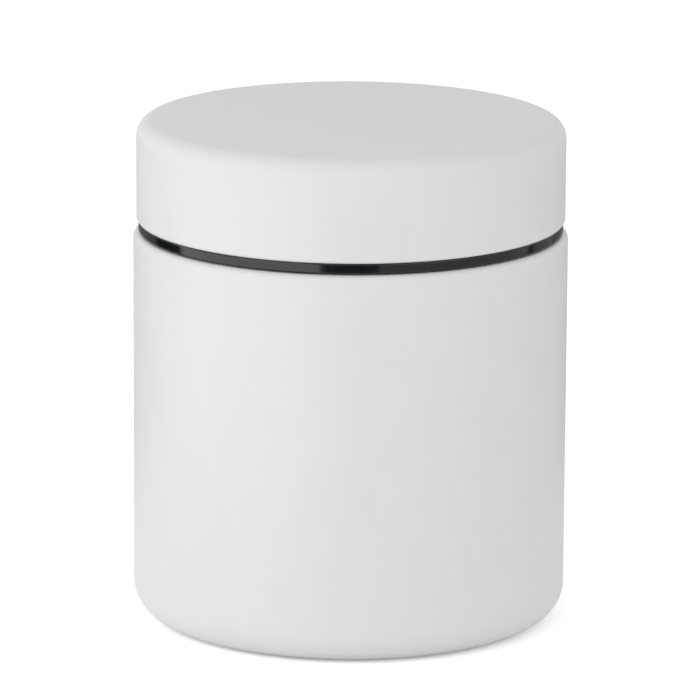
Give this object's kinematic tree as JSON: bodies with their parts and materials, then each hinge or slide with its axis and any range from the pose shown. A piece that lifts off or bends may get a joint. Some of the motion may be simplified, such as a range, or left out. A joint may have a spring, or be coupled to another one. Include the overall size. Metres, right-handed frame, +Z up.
{
  "type": "insulated food jar",
  "caption": "Squat double-walled insulated food jar with a plain screw-on lid, a dark ring under the lid and a rounded base.",
  "frame": {"origin": "centre of the foot pad's underside, on the jar's axis", "axes": "+Z up along the jar's axis; +X towards the start of the neck's thread and the getter, +Y completes the right-handed frame"},
  "size_m": [0.095, 0.095, 0.1107],
  "materials": {
    "shell_coat": "matte",
    "vessel_steel": "satin",
    "foil": "polished",
    "bare_steel": "satin",
    "seal_glass": "gloss",
    "getter_metal": "matte",
    "film": "satin",
    "foot_silicone": "matte",
    "lid_coat": "matte",
    "ring_black": "gloss",
    "foam": "matte",
    "plate_black": "satin",
    "gasket_silicone": "matte"
  },
  "bodies": {
    "jar_body": {"outer_shell": "shell_coat", "inner_vessel": "vessel_steel", "foil_wrap": "foil", "foil_disc": "foil", "outer_base": "bare_steel", "vacuum_seal": "seal_glass", "getter": "getter_metal", "getter_clip": "bare_steel", "base_cap": "bare_steel", "pad_adhesive": "film", "base_pad": "foot_silicone"},
    "lid_carrier": {"lid_foam": "foam"},
    "sealing_plate": {"inner_plate": "plate_black", "lid_gasket": "gasket_silicone"},
    "lid": {"lid_cover": "lid_coat", "lid_liner": "ring_black"}
  },
  "joints": [
    {"name": "lid_lift", "type": "slide", "parent": "jar_body", "child": "lid_carrier", "axis": [0, 0, 1], "range_m": [0, 0.1]},
    {"name": "lid_rise", "type": "slide", "parent": "lid_carrier", "child": "sealing_plate", "axis": [0, 0, 1], "range_m": [0, 0.0034]},
    {"name": "lid_turn", "type": "hinge", "parent": "sealing_plate", "child": "lid", "pos_m": [0, 0, 0.09], "axis": [0, 0, 1], "range_deg": [0, 270]}
  ],
  "couplings": [
    {"joint": "lid_rise", "follows": "lid_turn", "m_per_rad": 0.0007162}
  ]
}
